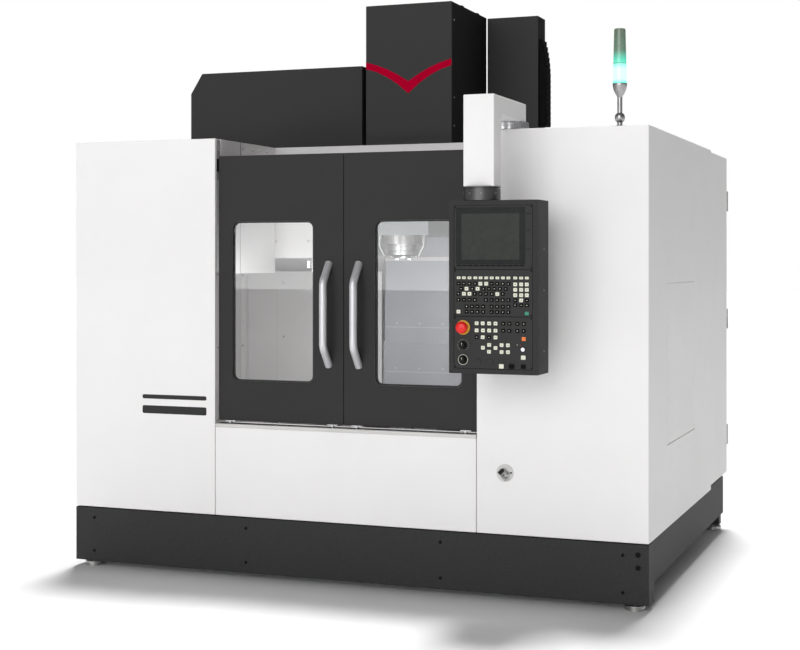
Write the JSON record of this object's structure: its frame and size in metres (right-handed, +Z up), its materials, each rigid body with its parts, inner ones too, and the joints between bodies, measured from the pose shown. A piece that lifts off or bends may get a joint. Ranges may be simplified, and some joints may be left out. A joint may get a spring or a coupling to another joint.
{
  "type": "vertical machining centre",
  "caption": "Enclosed vertical machining centre with sliding front doors, a moving table and spindle head, a tool changer and a swivelling control pendant.",
  "frame": {"origin": "on the floor, at the centre of the bounding box", "axes": "X to the machine's right as its operator faces it, Y to the rear, Z up"},
  "size_m": [2.8, 2.594, 2.747],
  "materials": {
    "white_paint": "fine textured powder coat",
    "dark_paint": "dark textured powder coat",
    "grey_sheet": "light grey satin paint",
    "casting": "painted casting",
    "ground_steel": "ground",
    "motor_black": "satin black",
    "chrome_bar": "satin",
    "window_glass": "clear laminated",
    "lamp_plastic": "translucent lens on a grey stand",
    "coupling_metal": "cast",
    "stop_red": "gloss",
    "knob_black": "matte",
    "button_white": "matte",
    "lock_steel": "satin"
  },
  "bodies": {
    "machine": {"bed": "casting", "column": "casting", "levelling_feet": "ground_steel", "linear_rails": "ground_steel", "plinth_bar": "dark_paint", "chassis_rails": "dark_paint", "front_panel_left": "white_paint", "front_panel_right": "white_paint", "front_panel_centre": "white_paint", "door_sill": "grey_sheet", "side_panel_left": "white_paint", "side_panel_right": "white_paint", "side_hatch": "white_paint", "cabinet_tops": "white_paint", "roof_cover": "white_paint", "upper_fascias": "white_paint", "splash_walls": "grey_sheet", "chip_pan_and_tank": "grey_sheet", "electrical_cabinet": "white_paint", "service_cabinet": "white_paint", "axis_motors": "motor_black", "column_guard": "ground_steel", "magazine_guard": "dark_paint", "cable_duct": "dark_paint", "changer_drive": "casting", "tool_changer_cover": "grey_sheet", "door_tracks": "ground_steel", "pendant_pivot": "chrome_bar", "signal_lamp": "lamp_plastic", "gun_coupling": "coupling_metal"},
    "saddle": {"saddle": "casting", "x_drive": "ground_steel"},
    "table": {"table": "ground_steel"},
    "x_screw": {"x_screw": "ground_steel"},
    "y_screw": {"y_screw": "ground_steel"},
    "z_screw": {"z_screw": "ground_steel"},
    "head": {"head_casting": "casting", "head_cover": "dark_paint", "spindle_housing": "ground_steel"},
    "spindle": {"spindle": "ground_steel"},
    "guard_slide": {"guard_slide": "ground_steel"},
    "tool_arm": {"tool_arm": "ground_steel"},
    "magazine_disc": {"magazine_disc": "ground_steel"},
    "door_left": {"door_left": "dark_paint", "door_left_glass": "window_glass", "door_left_grip": "chrome_bar"},
    "door_right": {"door_right": "dark_paint", "door_right_glass": "window_glass", "door_right_grip": "chrome_bar"},
    "pendant_arm": {"pendant_arm": "white_paint"},
    "pendant_panel": {"pendant_swivel": "dark_paint", "pendant_housing": "dark_paint"},
    "e_stop": {"e_stop": "stop_red"},
    "feed_knob": {"feed_knob": "knob_black"},
    "mode_knob": {"mode_knob": "knob_black"},
    "key_switch": {"key_switch": "lock_steel"},
    "start_button": {"start_button": "button_white"},
    "stop_button": {"stop_button": "knob_black"},
    "electrical_door": {"electrical_door": "white_paint"},
    "main_switch": {"main_switch": "knob_black"}
  },
  "joints": [
    {"name": "saddle_slide", "type": "slide", "parent": "machine", "child": "saddle", "axis": [0, 1, 0], "range_m": [-0.28, 0.28]},
    {"name": "table_slide", "type": "slide", "parent": "saddle", "child": "table", "axis": [1, 0, 0], "range_m": [-0.5, 0.5]},
    {"name": "head_slide", "type": "slide", "parent": "machine", "child": "head", "axis": [0, 0, 1], "range_m": [-0.56, 0]},
    {"name": "y_screw_spin", "type": "hinge", "parent": "machine", "child": "y_screw", "pos_m": [0, 0, 0.408], "axis": [0, 1, 0], "range_deg": [-8420, 8420]},
    {"name": "x_screw_spin", "type": "hinge", "parent": "saddle", "child": "x_screw", "pos_m": [0, -0.097, 0.615], "axis": [1, 0, 0], "range_deg": [-15020, 15020]},
    {"name": "z_screw_spin", "type": "hinge", "parent": "machine", "child": "z_screw", "pos_m": [0, 0.543, 1.5], "axis": [0, 0, 1], "range_deg": [-16820, 20]},
    {"name": "guard_follow", "type": "slide", "parent": "machine", "child": "guard_slide", "axis": [0, 0, 1], "range_m": [-0.28, 0]},
    {"name": "spindle_spin", "type": "hinge", "parent": "head", "child": "spindle", "pos_m": [0, -0.097, 1.6], "axis": [0, 0, 1], "continuous": true},
    {"name": "tool_arm_swing", "type": "hinge", "parent": "machine", "child": "tool_arm", "pos_m": [-0.33, -0.097, 1.459], "axis": [0, 0, 1], "range_deg": [0, 90]},
    {"name": "magazine_turn", "type": "hinge", "parent": "machine", "child": "magazine_disc", "pos_m": [-0.66, 0.253, 1.92], "axis": [0, 1, 0], "continuous": true},
    {"name": "door_left_slide", "type": "slide", "parent": "machine", "child": "door_left", "axis": [-1, 0, 0], "range_m": [0, 0.54]},
    {"name": "door_right_slide", "type": "slide", "parent": "machine", "child": "door_right", "axis": [1, 0, 0], "range_m": [0, 0.54]},
    {"name": "pendant_swing", "type": "hinge", "parent": "machine", "child": "pendant_arm", "pos_m": [0.764, -0.809, 2.08], "axis": [0, 0, 1], "range_deg": [-45, 15]},
    {"name": "panel_swivel", "type": "hinge", "parent": "pendant_arm", "child": "pendant_panel", "pos_m": [0.764, -1.197, 1.757], "axis": [0, 0, 1], "range_deg": [-90, 45]},
    {"name": "e_stop_press", "type": "slide", "parent": "pendant_panel", "child": "e_stop", "axis": [0, 1, 0], "range_m": [0, 0.006]},
    {"name": "feed_knob_turn", "type": "hinge", "parent": "pendant_panel", "child": "feed_knob", "pos_m": [0.702, -1.262, 1.131], "axis": [0, -1, 0], "range_deg": [-135, 135]},
    {"name": "mode_knob_turn", "type": "hinge", "parent": "pendant_panel", "child": "mode_knob", "pos_m": [0.702, -1.262, 1.071], "axis": [0, -1, 0], "range_deg": [-120, 120]},
    {"name": "key_turn", "type": "hinge", "parent": "pendant_panel", "child": "key_switch", "pos_m": [0.959, -1.262, 1.118], "axis": [0, -1, 0], "range_deg": [-90, 0]},
    {"name": "start_press", "type": "slide", "parent": "pendant_panel", "child": "start_button", "axis": [0, 1, 0], "range_m": [0, 0.004], "stiffness_N_per_m": 500},
    {"name": "stop_press", "type": "slide", "parent": "pendant_panel", "child": "stop_button", "axis": [0, 1, 0], "range_m": [0, 0.004], "stiffness_N_per_m": 500},
    {"name": "electrical_door_swing", "type": "hinge", "parent": "machine", "child": "electrical_door", "pos_m": [1.392, 1.286, 1.17], "axis": [0, 0, -1], "range_deg": [0, 110]},
    {"name": "main_switch_turn", "type": "hinge", "parent": "electrical_door", "child": "main_switch", "pos_m": [1.2, 1.283, 1.5], "axis": [0, -1, 0], "range_deg": [0, 90]}
  ],
  "couplings": [
    {"joint": "y_screw_spin", "follows": "saddle_slide", "rad_per_m": 523.6},
    {"joint": "x_screw_spin", "follows": "table_slide", "rad_per_m": 523.6},
    {"joint": "z_screw_spin", "follows": "head_slide", "rad_per_m": 523.6},
    {"joint": "guard_follow", "follows": "head_slide", "ratio": 0.5}
  ]
}
